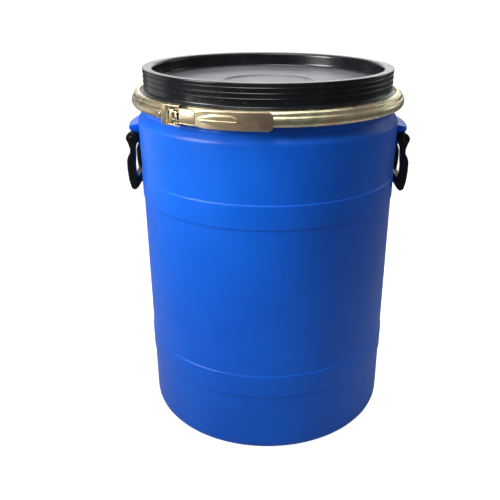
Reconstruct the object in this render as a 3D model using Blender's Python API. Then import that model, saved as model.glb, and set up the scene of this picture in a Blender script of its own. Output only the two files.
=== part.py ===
"""Plastic open head drum, about 50 litres: recessed lid, lever closing ring and two drop handles.

Units are metres, +Z is up, and the origin is the centre of the flat base. The handles are on the X axis.
"""

import math

import bmesh
import bpy
from mathutils import Matrix, Vector

# Driving dimensions
WALL = 0.003
BODY_RADIUS = 0.190
BAND_STEP = 0.0012
UPPER_BAND = (0.3550, 0.3905)
LOWER_BAND = (0.0950, 0.1325)
BASE_CORNER = 0.014
NECK_RADIUS = 0.183
RIM_RADIUS = 0.191
RIM_TOP = 0.499
LID_WALL_RADIUS = 0.1805
LID_TOP = 0.5407
LID_FLOOR = 0.5185
LID_PANEL_DROP = 0.0025
RING_NOSE_RADIUS = 0.1978
RING_SHEET = 0.0012
CLEARANCE = 0.0003
SET_IN = 0.0001
SEGMENTS = 60

# Closing ring: where it is split, and where its halves turn
GAP_ANGLE = -124.0
GAP_HALF_ANGLE = 1.55
BACK_ANGLE = GAP_ANGLE + 180.0
BACK_HALF_ANGLE = 8.0
SEAM_ANGLE = 0.12

# Toggle closure, in arc lengths along the ring from the middle of the gap
PIN_CIRCLE = 0.203
LEVER_PIVOT_ARC = 0.0027
CRANK = 0.018
CATCH_ARC = -0.0099
CATCH_CIRCLE = 0.2023
CLOSURE_MIDDLE_Z = 0.4995
PLATE_INNER = 0.2043
PLATE_SHEET = 0.0015
BRACKET_INNER = RING_NOSE_RADIUS + CLEARANCE
BRACKET_SHEET = 0.0012
PIN_RADIUS = 0.0015
HOLE_RADIUS = PIN_RADIUS + CLEARANCE
LEVER_END_ARC = 0.127

# Handles
PIVOT_X = 0.1980
PIVOT_Z = 0.4415
ARM_INNER_Y = 0.0300
ARM_OUTER_Y = 0.0430
LUG_OUTER_RADIUS = 0.2048
HANDLE_PIN_RADIUS = 0.0029
LUG_SIDE_GAP = 0.0015

# Rivets and sheet parts of the closure
RIVET_SHANK = 0.0017
RIVET_HEAD = 0.0033
RIVET_Z = 0.4968
TAB_HEIGHTS = (0.4915, 0.5020)
CATCH_LOW = 0.4870
CATCH_HIGH = 0.5125
CATCH_PIN_RADIUS = 0.0016
CATCH_RIVETS = (-0.0272, -0.0350)
EAR_SHEET = 0.0015
EYE_RADIUS = 0.0034
LINK_HALF_WIDTH = 0.0050
TONGUE_HALF_WIDTH = 0.0040
LEVER_LOW = CLOSURE_MIDDLE_Z - 0.0095
LEVER_HIGH = CLOSURE_MIDDLE_Z + 0.0095
LEVER_HALF_WIDTH = 0.0115
PIVOT_RIVETS = (0.0300, 0.0385)
THROUGH_ALL = (0.48, 0.52)


def clear_scene():
    for obj in list(bpy.data.objects):
        bpy.data.objects.remove(obj, do_unlink=True)


def material(name, colour, roughness, metallic=0.0):
    made = bpy.data.materials.new(name)
    made.use_nodes = True
    shader = made.node_tree.nodes["Principled BSDF"]
    shader.inputs["Base Color"].default_value = (*colour, 1.0)
    shader.inputs["Roughness"].default_value = roughness
    shader.inputs["Metallic"].default_value = metallic
    return made


def polar(radius, degrees, z):
    angle = math.radians(degrees)
    return Vector((radius * math.cos(angle), radius * math.sin(angle), z))


def arc_angle(arc):
    """Angle around the drum of a place on the closure, from its arc length along the pin circle."""
    return GAP_ANGLE + math.degrees(arc / PIN_CIRCLE)


def object_from(name, bm, look):
    bmesh.ops.remove_doubles(bm, verts=bm.verts, dist=1e-6)
    bmesh.ops.recalc_face_normals(bm, faces=bm.faces)
    mesh = bpy.data.meshes.new(name)
    bm.to_mesh(mesh)
    bm.free()
    mesh.materials.append(look)
    mesh.shade_smooth()
    mesh.set_sharp_from_angle(angle=math.radians(35))
    obj = bpy.data.objects.new(name, mesh)
    bpy.context.scene.collection.objects.link(obj)
    return obj


def turned(name, profile, look, centre=(0.0, 0.0), segments=SEGMENTS):
    """Turns a profile of (radius, z) points a full turn about the vertical line through centre."""
    bm = bmesh.new()
    columns = []
    for radius, z in profile:
        count = segments if radius > 1e-6 else 1
        angles = [2 * math.pi * i / count for i in range(count)]
        columns.append([
            bm.verts.new((centre[0] + radius * math.cos(a), centre[1] + radius * math.sin(a), z))
            for a in angles
        ])
    for first, second in zip(columns, columns[1:] + columns[:1]):
        for i in range(segments):
            j = (i + 1) % segments
            corners = [first[i % len(first)], first[j % len(first)]]
            corners += [second[j % len(second)], second[i % len(second)]]
            corners = list(dict.fromkeys(corners))
            if len(corners) > 2:
                bm.faces.new(corners)
    return object_from(name, bm, look)


def swept(name, sections, look):
    """Joins sections, each a list of points with the same length, into one solid with closed ends."""
    bm = bmesh.new()
    rings = [[bm.verts.new(point) for point in section] for section in sections]
    for first, second in zip(rings, rings[1:]):
        for i in range(len(first)):
            j = (i + 1) % len(first)
            bm.faces.new([first[i], first[j], second[j], second[i]])
    bm.faces.new(rings[0])
    bm.faces.new(reversed(rings[-1]))
    return object_from(name, bm, look)


def arc_sweep(name, profile, start, end, look, step=6.0):
    """Sweeps a closed profile of (radius, z) points around the drum's axis, from one angle to another."""
    steps = max(1, math.ceil(abs(end - start) / step))
    angles = [start + (end - start) * i / steps for i in range(steps + 1)]
    return swept(name, [[polar(r, a, z) for r, z in profile] for a in angles], look)


def arc_block(name, radii, heights, arcs, look):
    """A curved block between two radii, two heights and two arc lengths along the closure."""
    (inner, outer), (low, high) = radii, heights
    profile = [(inner, low), (outer, low), (outer, high), (inner, high)]
    return arc_sweep(name, profile, arc_angle(arcs[0]), arc_angle(arcs[1]), look, step=2.5)


def curved_plate(name, inner, outer, stations, look):
    """A curved plate whose lower and upper edges are given at stations of (arc, low, high)."""
    sections = []
    for arc, low, high in stations:
        angle = arc_angle(arc)
        sections.append([polar(inner, angle, low), polar(outer, angle, low),
                         polar(outer, angle, high), polar(inner, angle, high)])
    return swept(name, sections, look)


def upright(name, centre, radius, heights, look, segments=16):
    """A vertical cylinder."""
    profile = [(0, heights[1]), (radius, heights[1]), (radius, heights[0]), (0, heights[0])]
    return turned(name, profile, look, centre=centre[:2], segments=segments)


def offset_line(points, distance):
    """The line of points moved sideways by distance, to the left of its direction."""
    normals = []
    for (ax, ay), (bx, by) in zip(points, points[1:]):
        length = math.hypot(bx - ax, by - ay)
        normals.append(Vector((-(by - ay) / length, (bx - ax) / length)))
    moved = []
    for i, point in enumerate(points):
        before = normals[max(i - 1, 0)]
        after = normals[min(i, len(normals) - 1)]
        middle = (before + after).normalized()
        moved.append(Vector(point) + middle * distance / max(0.5, middle.dot(before)))
    return [(p.x, p.y) for p in moved]


def combine(base, parts, operation):
    """Joins helper solids to base, or cuts them from it, and hides them from the render."""
    for part in parts:
        modifier = base.modifiers.new(f"{operation.lower()}_{part.name}", "BOOLEAN")
        modifier.operation = operation
        modifier.solver = "EXACT"
        modifier.object = part
        part.hide_render = True
        part.display_type = "WIRE"
    return base


def joint_empty(name, place, parent=None):
    empty = bpy.data.objects.new(name, None)
    empty.empty_display_size = 0.02
    bpy.context.scene.collection.objects.link(empty)
    if parent:
        empty.parent = parent
        empty.location = Vector(place) - parent.matrix_world.translation
    else:
        empty.location = place
    bpy.context.view_layer.update()
    return empty


def with_helpers(piece):
    """The piece and the helper solids of its modifiers, and theirs."""
    found = [piece]
    for modifier in piece.modifiers:
        found += with_helpers(modifier.object)
    return found


def attach(empty, *pieces):
    """Puts each piece's origin at the empty and parents it, leaving the piece where it is."""
    shift = Matrix.Translation(-empty.matrix_world.translation)
    for piece in pieces:
        for solid in with_helpers(piece):
            solid.data.transform(shift)
            solid.parent = empty


def handle_side_cut(name, radius, look):
    """A bar along Y through the handle pivot, on the +X side."""
    bar = upright(name, (0, 0), radius, (-0.046, 0.046), look)
    bar.data.transform(Matrix.Translation((PIVOT_X, 0, PIVOT_Z)) @ Matrix.Rotation(math.pi / 2, 4, "X"))
    return bar


def turn_half(piece):
    piece.data.transform(Matrix.Rotation(math.pi, 4, "Z"))
    return piece


def lug_block(name, look):
    """The block between the handle's arms, from inside the wall to a rounded front around the pin."""
    front = [(0.1985, 0.4335), (0.2017, 0.4355), (0.2029, 0.4390), (0.2029, 0.4445), (0.2022, 0.4480),
             (0.2012, 0.4540)]
    half, steps = ARM_INNER_Y - LUG_SIDE_GAP, 6
    sections = []
    for i in range(steps + 1):
        y = half * (2 * i / steps - 1)
        back = math.sqrt((BODY_RADIUS - WALL / 2) ** 2 - y**2)
        outline = [(back, front[0][1]), *front, (back, front[-1][1])]
        sections.append([Vector((x, y, z)) for x, z in outline])
    return swept(name, sections, look)


def lug_solids(look, side):
    """The shelf over the handle's arms and the block between them, which carries the handle's pin."""
    half = math.degrees(math.asin(ARM_OUTER_Y / LUG_OUTER_RADIUS))
    inside = BODY_RADIUS - WALL / 2
    shelf_profile = [(inside, 0.4530), (LUG_OUTER_RADIUS, 0.4530), (LUG_OUTER_RADIUS, 0.4585),
                     (LUG_OUTER_RADIUS - 0.003, 0.4612), (inside, 0.4618)]
    shelf = arc_sweep(f"lug_shelf_{side}", shelf_profile, -half, half, look, step=4.0)
    return [shelf, lug_block(f"lug_block_{side}", look)]


def make_drum_body(look):
    corner = [
        (BODY_RADIUS - BASE_CORNER * (1 - math.cos(a)), BASE_CORNER * (1 - math.sin(a)))
        for a in (math.radians(d) for d in (0, 30, 60, 90))
    ]
    band_radius = BODY_RADIUS + BAND_STEP
    outside = [
        (RIM_RADIUS - 0.010, RIM_TOP), (RIM_RADIUS - 0.0012, RIM_TOP), (RIM_RADIUS, RIM_TOP - 0.0012),
        (RIM_RADIUS, 0.4950), (0.1895, 0.4928), (0.1860, 0.4908), (NECK_RADIUS, 0.4888),
        (NECK_RADIUS, 0.4795), (0.1868, 0.4745), (0.1898, 0.4705), (0.1912, 0.4645), (0.1913, 0.4500),
        (BODY_RADIUS, UPPER_BAND[1]), (band_radius, UPPER_BAND[1] - 0.0020),
        (band_radius, UPPER_BAND[0] + 0.0015), (BODY_RADIUS, UPPER_BAND[0]),
        (BODY_RADIUS, LOWER_BAND[1]), (band_radius, LOWER_BAND[1] - 0.0017),
        (band_radius, LOWER_BAND[0] + 0.0015), (BODY_RADIUS, LOWER_BAND[0]),
    ]
    inner_radius = BODY_RADIUS - WALL
    inside = [
        (0, 0), (0, WALL), (inner_radius - 0.011, WALL), (inner_radius - 0.002, 0.0080),
        (inner_radius, 0.0150), (inner_radius, 0.3905), (0.1883, 0.4560), (0.1868, 0.4680),
        (NECK_RADIUS - WALL, 0.4770), (NECK_RADIUS - WALL, RIM_TOP - 0.0010),
    ]
    drum = turned("drum_body", outside + corner + inside, look)
    lugs = lug_solids(look, "right") + [turn_half(piece) for piece in lug_solids(look, "left")]
    holes = [handle_side_cut("pin_hole_right", HANDLE_PIN_RADIUS + CLEARANCE, look),
             turn_half(handle_side_cut("pin_hole_left", HANDLE_PIN_RADIUS + CLEARANCE, look))]
    combine(drum, lugs, "UNION")
    return combine(drum, holes, "DIFFERENCE")


def make_lid(look):
    panel_top = LID_FLOOR - LID_PANEL_DROP
    top = [
        (0, panel_top), (0.0660, panel_top), (0.0685, LID_FLOOR), (0.1600, LID_FLOOR), (0.1650, 0.5205),
        (0.1665, 0.5250), (0.1667, 0.5340), (0.1682, 0.5385), (0.1720, LID_TOP), (0.1787, LID_TOP),
        (LID_WALL_RADIUS, 0.5390), (LID_WALL_RADIUS, 0.5130), (0.1818, 0.5105), (0.1895, 0.5068),
        (0.1918, 0.5045), (0.1918, 0.5000),
    ]
    underside = [
        (0.1900, 0.5000), (0.1900, 0.5043), (0.1790, 0.5043), (0.1790, 0.4915), (0.1780, 0.4900),
        (0.1765, 0.4900), (0.1765, 0.5065), (0.1780, 0.5090), (0.1780, 0.5375), (0.1692, 0.5375),
        (0.1692, 0.5155), (0.0700, 0.5155), (0.0680, 0.5130), (0, 0.5130),
    ]
    return turned("lid", top + underside, look)


def make_gasket(look):
    profile = [(0.1825, 0.5040), (0.1885, 0.5040), (0.1895, 0.5030), (0.1895, 0.5003),
               (0.1885, 0.4993), (0.1825, 0.4993), (0.1815, 0.5003), (0.1815, 0.5030)]
    return turned("lid_gasket", profile, look)


def ring_profile():
    outer = [
        (0.1860, 0.5106), (0.1915, 0.5086), (0.1938, 0.5066), (0.1942, 0.5040), (0.1970, 0.5016),
        (RING_NOSE_RADIUS, 0.4992), (RING_NOSE_RADIUS, 0.4945), (0.1957, 0.4912), (0.1915, 0.4893),
        (0.1872, 0.4882),
    ]
    return outer + offset_line(outer, -RING_SHEET)[::-1]


def make_ring_sheet(look):
    """The sheet ring: two long halves that spring open, and the short back part between them."""
    profile = ring_profile()
    back_low = BACK_ANGLE - BACK_HALF_ANGLE
    back_high = BACK_ANGLE + BACK_HALF_ANGLE
    back = arc_sweep("ring_back", profile, back_low, back_high, look)
    gap_low, gap_high = GAP_ANGLE + GAP_HALF_ANGLE, GAP_ANGLE + 360 - GAP_HALF_ANGLE
    right = arc_sweep("ring_right_half", profile, gap_low, back_low - SEAM_ANGLE, look)
    left = arc_sweep("ring_left_half", profile, back_high + SEAM_ANGLE, gap_high, look)
    return back, left, right


def radial_bar(name, arc, z, radius, radii, look, segments=12):
    """A cylinder that points away from the drum's axis."""
    bar = upright(name, (0, 0), radius, radii, look, segments=segments)
    turn = Matrix.Rotation(math.radians(arc_angle(arc)), 4, "Z")
    bar.data.transform(Matrix.Translation((0, 0, z)) @ turn @ Matrix.Rotation(math.pi / 2, 4, "Y"))
    return bar


def make_rivet(name, arc, look):
    """A domed rivet through a bracket and the ring sheet."""
    outside = BRACKET_INNER + BRACKET_SHEET + CLEARANCE
    inside = RING_NOSE_RADIUS - RING_SHEET - 2 * CLEARANCE
    profile = [(0, outside + 0.0013), (RIVET_HEAD * 0.6, outside + 0.0010), (RIVET_HEAD, outside),
               (RIVET_SHANK, outside), (RIVET_SHANK, inside), (RIVET_HEAD * 0.7, inside),
               (RIVET_HEAD * 0.7, inside - 0.0006), (0, inside - 0.0006)]
    rivet = turned(name, profile, look, segments=14)
    turn = Matrix.Rotation(math.radians(arc_angle(arc)), 4, "Z")
    tip = Matrix.Rotation(math.pi / 2, 4, "Y")
    rivet.data.transform(Matrix.Translation((0, 0, RIVET_Z)) @ turn @ tip)
    return rivet


def cut_rivet_holes(pieces, arcs, look):
    radius, reach = RIVET_SHANK + CLEARANCE, (0.19, 0.21)
    for piece in pieces:
        holes = [
            radial_bar(f"{piece.name}_rivet_hole_{i}", arc, RIVET_Z, radius, reach, look)
            for i, arc in enumerate(arcs, 1)
        ]
        combine(piece, holes, "DIFFERENCE")


def make_catch_bracket(look):
    """A box bracket on the left end of the ring, open at both ends, with a slot for the link."""
    web_outer = BRACKET_INNER + BRACKET_SHEET
    face = PLATE_INNER + PLATE_SHEET
    heights = (CATCH_LOW, CATCH_HIGH)
    bracket = arc_block("catch_bracket", (BRACKET_INNER, face), heights, (-0.0235, -0.0053), look)
    tab_radii = (BRACKET_INNER + SET_IN, web_outer - SET_IN)
    tab = arc_block("catch_tab", tab_radii, TAB_HEIGHTS, (-0.0395, -0.0220), look)
    combine(bracket, [tab], "UNION")
    inside = (CATCH_LOW + PLATE_SHEET, CATCH_HIGH - PLATE_SHEET)
    cavity = arc_block("catch_cavity", (web_outer, PLATE_INNER), inside, (-0.0300, 0.0000), look)
    slot = arc_block("catch_slot", (0.2030, 0.2070), (0.4935, 0.5055), (-0.0162, -0.0040), look)
    centre = polar(CATCH_CIRCLE, arc_angle(CATCH_ARC), 0)
    pin_hole = upright("catch_pin_hole", centre, CATCH_PIN_RADIUS + CLEARANCE, THROUGH_ALL, look)
    return combine(bracket, [cavity, slot, pin_hole], "DIFFERENCE")


def make_catch_pin(look):
    centre = polar(CATCH_CIRCLE, arc_angle(CATCH_ARC), 0)
    beyond = 0.0008
    heights = (CATCH_LOW - beyond, CATCH_HIGH + beyond)
    return upright("catch_pin", centre, CATCH_PIN_RADIUS, heights, look)


def make_pivot_bracket(look):
    """A channel bracket on the ring's right end, whose ears reach over the gap to the lever's pivot."""
    low = LEVER_LOW + EAR_SHEET + CLEARANCE
    high = LEVER_HIGH - EAR_SHEET - CLEARANCE
    web_outer = BRACKET_INNER + BRACKET_SHEET
    pivot = polar(PIN_CIRCLE, arc_angle(LEVER_PIVOT_ARC), 0)
    reach = (BRACKET_INNER, PLATE_INNER - CLEARANCE)
    bracket = arc_block("pivot_bracket", reach, (low, high), (0.0040, 0.0175), look)
    tab_radii = (BRACKET_INNER + SET_IN, web_outer - SET_IN)
    tab = arc_block("pivot_tab", tab_radii, TAB_HEIGHTS, (0.0160, 0.0430), look)
    eye_heights = (low + SET_IN, high - SET_IN)
    eye = upright("pivot_eye", pivot, EYE_RADIUS - SET_IN, eye_heights, look, segments=20)
    combine(bracket, [tab, eye], "UNION")
    inside = (low + EAR_SHEET, high - EAR_SHEET)
    channel = arc_block("pivot_channel", (web_outer, 0.2100), inside, (-0.0100, 0.0500), look)
    hole = upright("pivot_hole", pivot, HOLE_RADIUS, THROUGH_ALL, look)
    return combine(bracket, [channel, hole], "DIFFERENCE")


def make_pivot_rivet(name, sign, look):
    """A headed stub through one ear of the lever and one ear of the pivot bracket."""
    pivot = polar(PIN_CIRCLE, arc_angle(LEVER_PIVOT_ARC), 0)
    reach = LEVER_HIGH - CLOSURE_MIDDLE_Z
    levels = [(0, reach + 0.0013), (0.0024, reach + 0.0011), (0.0024, reach + CLEARANCE),
              (PIN_RADIUS, reach + CLEARANCE), (PIN_RADIUS, reach - 0.0036), (0, reach - 0.0036)]
    profile = [(radius, CLOSURE_MIDDLE_Z + sign * height) for radius, height in levels]
    return turned(name, profile, look, centre=pivot[:2], segments=16)


def link_pivot():
    return polar(PIN_CIRCLE, arc_angle(LEVER_PIVOT_ARC + CRANK), 0)


def make_lever_ears(look):
    """The two ears of the lever, which hold its pivot and the link's pin."""
    pivot = polar(PIN_CIRCLE, arc_angle(LEVER_PIVOT_ARC), 0)
    heights = (LEVER_LOW + SET_IN, LEVER_HIGH - SET_IN)
    ears = arc_block("lever_ears", (0.1990, 0.2050), heights, (LEVER_PIVOT_ARC, 0.0310), look)
    eye_heights = (LEVER_LOW + 2 * SET_IN, LEVER_HIGH - 2 * SET_IN)
    eye = upright("lever_eye", pivot, EYE_RADIUS, eye_heights, look, segments=20)
    combine(ears, [eye], "UNION")
    inside = (LEVER_LOW + EAR_SHEET, LEVER_HIGH - EAR_SHEET)
    channel = arc_block("lever_channel", (0.1900, 0.2100), inside, (-0.0100, 0.0400), look)
    return combine(ears, [channel], "DIFFERENCE")


def make_lever(look):
    """The curved lever plate, with ears at its pivot, turned edges and an embossed grip."""
    outer = PLATE_INNER + PLATE_SHEET
    wide = LEVER_HALF_WIDTH
    middle = CLOSURE_MIDDLE_Z
    full_arc, end_arc = 0.0420, 0.1215
    stations = [(arc, LEVER_LOW, LEVER_HIGH) for arc in (0.0065, 0.0150, 0.0240, 0.0330)]
    count = 9
    for i in range(count + 1):
        stations.append((full_arc + (end_arc - full_arc) * i / count, middle - wide, middle + wide))
    for arc, half in ((0.1250, 0.0100), (LEVER_END_ARC, 0.0060)):
        stations.append((arc, middle - half, middle + half))
    lever = curved_plate("lever", PLATE_INNER, outer, stations, look)
    parts = [make_lever_ears(look)]
    for i, low in enumerate((middle - wide + SET_IN, middle + wide - 0.0013), 1):
        heights = (low, low + 0.0012)
        parts.append(arc_block(f"lever_edge_{i}", (0.2015, 0.2050), heights, (0.0435, 0.1200), look))
    grip = [(0.0335, 0.0006), (0.0400, 0.0040), (0.0480, 0.0062), (0.0580, 0.0068), (0.0680, 0.0068),
            (0.0770, 0.0064), (0.0820, 0.0046), (0.0845, 0.0015)]
    pad = [(arc, middle + 0.001 - half, middle + 0.001 + half) for arc, half in grip]
    parts.append(curved_plate("lever_emboss", outer - 0.0006, outer + 0.0014, pad, look))
    combine(lever, parts, "UNION")
    pivot = polar(PIN_CIRCLE, arc_angle(LEVER_PIVOT_ARC), 0)
    slot_heights = (middle - 0.0053, middle + 0.0053)
    slot = arc_block("lever_slot", (0.2020, 0.2090), slot_heights, (0.0040, 0.0300), look)
    holes = [upright("lever_pivot_hole", pivot, HOLE_RADIUS, THROUGH_ALL, look),
             upright("lever_link_hole", link_pivot(), HOLE_RADIUS, THROUGH_ALL, look)]
    return combine(lever, [slot, *holes], "DIFFERENCE")


def make_link(look):
    """The link plate: an eye on the lever's crank pin, and a hook over the catch pin."""
    middle = CLOSURE_MIDDLE_Z
    inner, outer = PLATE_INNER, PLATE_INNER + PLATE_SHEET
    crank_arc = LEVER_PIVOT_ARC + CRANK
    narrow, broad = TONGUE_HALF_WIDTH, LINK_HALF_WIDTH
    hook_tip, hook_root = -0.0142, -0.0127

    def about_middle(half):
        return (middle - half, middle + half)

    link = arc_block("link", (inner, outer), about_middle(broad), (hook_tip, 0.0000), look)
    tongue = arc_block("link_tongue", (inner + SET_IN, outer - SET_IN), about_middle(narrow),
                       (-0.0020, crank_arc), look)
    hook = arc_block("link_hook", (CATCH_CIRCLE - 0.0006, outer - SET_IN), about_middle(broad - SET_IN),
                     (hook_tip + SET_IN, hook_root), look)
    eye = upright("link_eye", link_pivot(), 0.0030, about_middle(narrow - SET_IN), look, segments=20)
    combine(link, [tongue, hook, eye], "UNION")
    window = arc_block("link_window", (0.2030, 0.2070), about_middle(0.0022), (-0.0062, -0.0022), look)
    hole = upright("link_eye_hole", link_pivot(), HOLE_RADIUS, THROUGH_ALL, look)
    return combine(link, [window, hole], "DIFFERENCE")


def make_link_pin(look):
    reach = LEVER_HIGH - CLOSURE_MIDDLE_Z
    upper = [(0, reach + 0.0012), (0.0023, reach + 0.0010), (0.0023, reach + CLEARANCE),
             (PIN_RADIUS, reach + CLEARANCE)]
    profile = [(radius, CLOSURE_MIDDLE_Z + height) for radius, height in upper]
    profile += [(radius, CLOSURE_MIDDLE_Z - height) for radius, height in reversed(upper)]
    return turned("link_pin", profile, look, centre=link_pivot()[:2], segments=16)


def make_handle(name, look):
    """A drop handle on the +X side: two bowed arms with round bosses, and a grip bar between them."""
    boss = 0.0088
    outline = [(PIVOT_X + boss * math.cos(a), PIVOT_Z + boss * math.sin(a))
               for a in (math.radians(d) for d in range(-40, 221, 26))]
    inner = [(0.1945, 0.4270), (0.1948, 0.4150), (0.1960, 0.4000), (0.1958, 0.3880), (0.1935, 0.3760)]
    grip_end = [(0.1938, 0.3680), (0.1985, 0.3628), (0.2038, 0.3665)]
    outer = [(0.2068, 0.3790), (0.2080, 0.3950), (0.2078, 0.4080), (0.2055, 0.4150), (0.2022, 0.4205),
             (0.2020, 0.4265)]
    side = outline + inner + grip_end + outer
    arms = []
    for end, (near, far) in enumerate(((-ARM_OUTER_Y, -ARM_INNER_Y), (ARM_INNER_Y, ARM_OUTER_Y))):
        sections = [[Vector((x, y, z)) for x, z in side] for y in (near, far)]
        arms.append(swept(name if end == 0 else f"{name}_far_arm", sections, look))
    grip = [(0.1935, 0.3740), (0.1940, 0.3670), (0.1985, 0.3632), (0.2035, 0.3660), (0.2060, 0.3740),
            (0.2040, 0.3805), (0.1985, 0.3825), (0.1945, 0.3800)]
    reach = ARM_OUTER_Y - 0.006
    bar = swept(f"{name}_grip", [[Vector((x, y, z)) for x, z in grip] for y in (-reach, reach)], look)
    handle = combine(arms[0], [bar, arms[1]], "UNION")
    bore = handle_side_cut(f"{name}_bore", HANDLE_PIN_RADIUS + CLEARANCE, look)
    return combine(handle, [bore], "DIFFERENCE")


def make_handle_pin(name, look):
    """The pin along Y through the handle's bosses and the drum's lug, with a low head at each end."""
    reach = ARM_OUTER_Y + CLEARANCE
    half = [(0, reach + 0.0018), (0.0040, reach + 0.0012), (0.0046, reach), (HANDLE_PIN_RADIUS, reach)]
    profile = half + [(radius, -height) for radius, height in reversed(half)]
    pin = turned(name, profile, look, segments=16)
    pin.data.transform(Matrix.Translation((PIVOT_X, 0, PIVOT_Z)) @ Matrix.Rotation(math.pi / 2, 4, "X"))
    return pin


def turn_with_helpers(piece):
    """Turns a piece and the helper solids of its modifiers half a turn about the drum's axis."""
    for solid in with_helpers(piece):
        turn_half(solid)
    return piece


def build():
    clear_scene()
    blue = material("blue_hdpe", (0.012, 0.085, 0.60), 0.38)
    black = material("black_hdpe", (0.012, 0.012, 0.014), 0.28)
    handle_black = material("black_nylon", (0.010, 0.010, 0.011), 0.42)
    rubber = material("grey_rubber", (0.20, 0.20, 0.20), 0.80)
    gold = material("yellow_zinc", (0.62, 0.50, 0.26), 0.32, metallic=1.0)
    steel = material("plain_steel", (0.55, 0.53, 0.48), 0.35, metallic=1.0)

    drum_axis = joint_empty("drum_axis", (0, 0, 0))
    attach(drum_axis, make_drum_body(blue))

    lid_axis = joint_empty("lid_lift_axis", (0, 0, RIM_TOP))
    attach(lid_axis, make_lid(black), make_gasket(rubber))

    ring_axis = joint_empty("ring_lift_axis", (0, 0, CLOSURE_MIDDLE_Z))
    left_hinge = polar(RING_NOSE_RADIUS, BACK_ANGLE + BACK_HALF_ANGLE, CLOSURE_MIDDLE_Z)
    right_hinge = polar(RING_NOSE_RADIUS, BACK_ANGLE - BACK_HALF_ANGLE, CLOSURE_MIDDLE_Z)
    left_axis = joint_empty("ring_left_axis", left_hinge, ring_axis)
    right_axis = joint_empty("ring_right_axis", right_hinge, ring_axis)
    pivot = polar(PIN_CIRCLE, arc_angle(LEVER_PIVOT_ARC), CLOSURE_MIDDLE_Z)
    lever_axis = joint_empty("lever_axis", pivot, right_axis)
    crank = link_pivot()
    crank.z = CLOSURE_MIDDLE_Z
    link_axis = joint_empty("link_axis", crank, lever_axis)

    back, left, right = make_ring_sheet(gold)
    catch = make_catch_bracket(gold)
    cut_rivet_holes((left, catch), CATCH_RIVETS, steel)
    bracket = make_pivot_bracket(gold)
    cut_rivet_holes((right, bracket), PIVOT_RIVETS, steel)
    attach(ring_axis, back)
    catch_rivets = [make_rivet(f"catch_rivet_{i}", arc, steel) for i, arc in enumerate(CATCH_RIVETS, 1)]
    attach(left_axis, left, catch, make_catch_pin(steel), *catch_rivets)
    bracket_rivets = [
        make_rivet(f"bracket_rivet_{i}", arc, steel) for i, arc in enumerate(PIVOT_RIVETS, 1)
    ]
    stubs = [make_pivot_rivet("pivot_rivet_upper", 1, steel),
             make_pivot_rivet("pivot_rivet_lower", -1, steel)]
    attach(right_axis, right, bracket, *bracket_rivets, *stubs)
    attach(lever_axis, make_lever(gold), make_link_pin(steel))
    attach(link_axis, make_link(gold))

    handle_right_axis = joint_empty("handle_right_axis", (PIVOT_X, 0, PIVOT_Z))
    handle_left_axis = joint_empty("handle_left_axis", (-PIVOT_X, 0, PIVOT_Z))
    attach(handle_right_axis, make_handle("handle_right", handle_black))
    attach(handle_left_axis, turn_with_helpers(make_handle("handle_left", handle_black)))
    attach(drum_axis, make_handle_pin("handle_pin_right", steel))
    attach(drum_axis, turn_half(make_handle_pin("handle_pin_left", steel)))


build()
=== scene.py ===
"""Looks of the plastic open head drum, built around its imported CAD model.

Metres, +Z up, origin at the centre of the base, handles on the X axis and the ring's closure towards -Y.
"""

import math

import bmesh
import bpy
from mathutils import Matrix, Vector


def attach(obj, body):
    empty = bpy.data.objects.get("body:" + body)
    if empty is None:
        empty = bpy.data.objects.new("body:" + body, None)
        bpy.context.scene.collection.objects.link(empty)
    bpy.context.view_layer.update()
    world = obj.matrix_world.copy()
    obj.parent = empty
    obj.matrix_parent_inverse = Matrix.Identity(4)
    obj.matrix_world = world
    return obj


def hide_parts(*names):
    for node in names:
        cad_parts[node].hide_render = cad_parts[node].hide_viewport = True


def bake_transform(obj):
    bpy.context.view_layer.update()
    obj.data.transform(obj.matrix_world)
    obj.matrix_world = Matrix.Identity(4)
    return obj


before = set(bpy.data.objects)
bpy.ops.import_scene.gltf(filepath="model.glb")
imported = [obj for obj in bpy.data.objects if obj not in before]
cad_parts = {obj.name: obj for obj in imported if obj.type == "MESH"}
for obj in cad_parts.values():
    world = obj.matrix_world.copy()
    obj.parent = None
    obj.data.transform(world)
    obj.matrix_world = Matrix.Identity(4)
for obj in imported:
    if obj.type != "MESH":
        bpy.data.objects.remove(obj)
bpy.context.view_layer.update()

# Sizes that the CAD model has too
BODY_RADIUS = 0.190
BAND_RADIUS = 0.1912
SHOULDER_RADIUS = 0.1913
NECK_RADIUS = 0.183
UPPER_BAND = (0.3550, 0.3905)
LOWER_BAND = (0.0950, 0.1325)
RIM_TOP = 0.499
WALL = 0.003
LID_TOP = 0.5407
LID_FLOOR = 0.5185
LID_WALL_RADIUS = 0.1805
RING_SHEET = 0.0012
RING_NOSE_RADIUS = 0.1976
GAP_ANGLE = -124.0
GAP_HALF_ANGLE = 1.55
BACK_ANGLE = 56.0
PIN_CIRCLE = 0.203
LEVER_PIVOT_ARC = 0.0027
CRANK = 0.018
CATCH_ARC = -0.0099
CATCH_CIRCLE = 0.2023
MIDDLE_Z = 0.4995
PLATE_INNER = 0.2043
PLATE_OUTER = 0.2058
BRACKET_INNER = 0.1981
BRACKET_SHEET = 0.0012
PIVOT_X = 0.1980
PIVOT_Z = 0.4415
ARM_INNER_Y = 0.0300
ARM_OUTER_Y = 0.0430
LUG_OUTER_RADIUS = 0.2048
HANDLE_PIN_RADIUS = 0.0029

TURN_SEGMENTS = 240
BACKDROP_WHITE = 1.0
WORLD_DIM = 0.22


# ---------------------------------------------------------------- lines and meshes

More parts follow.
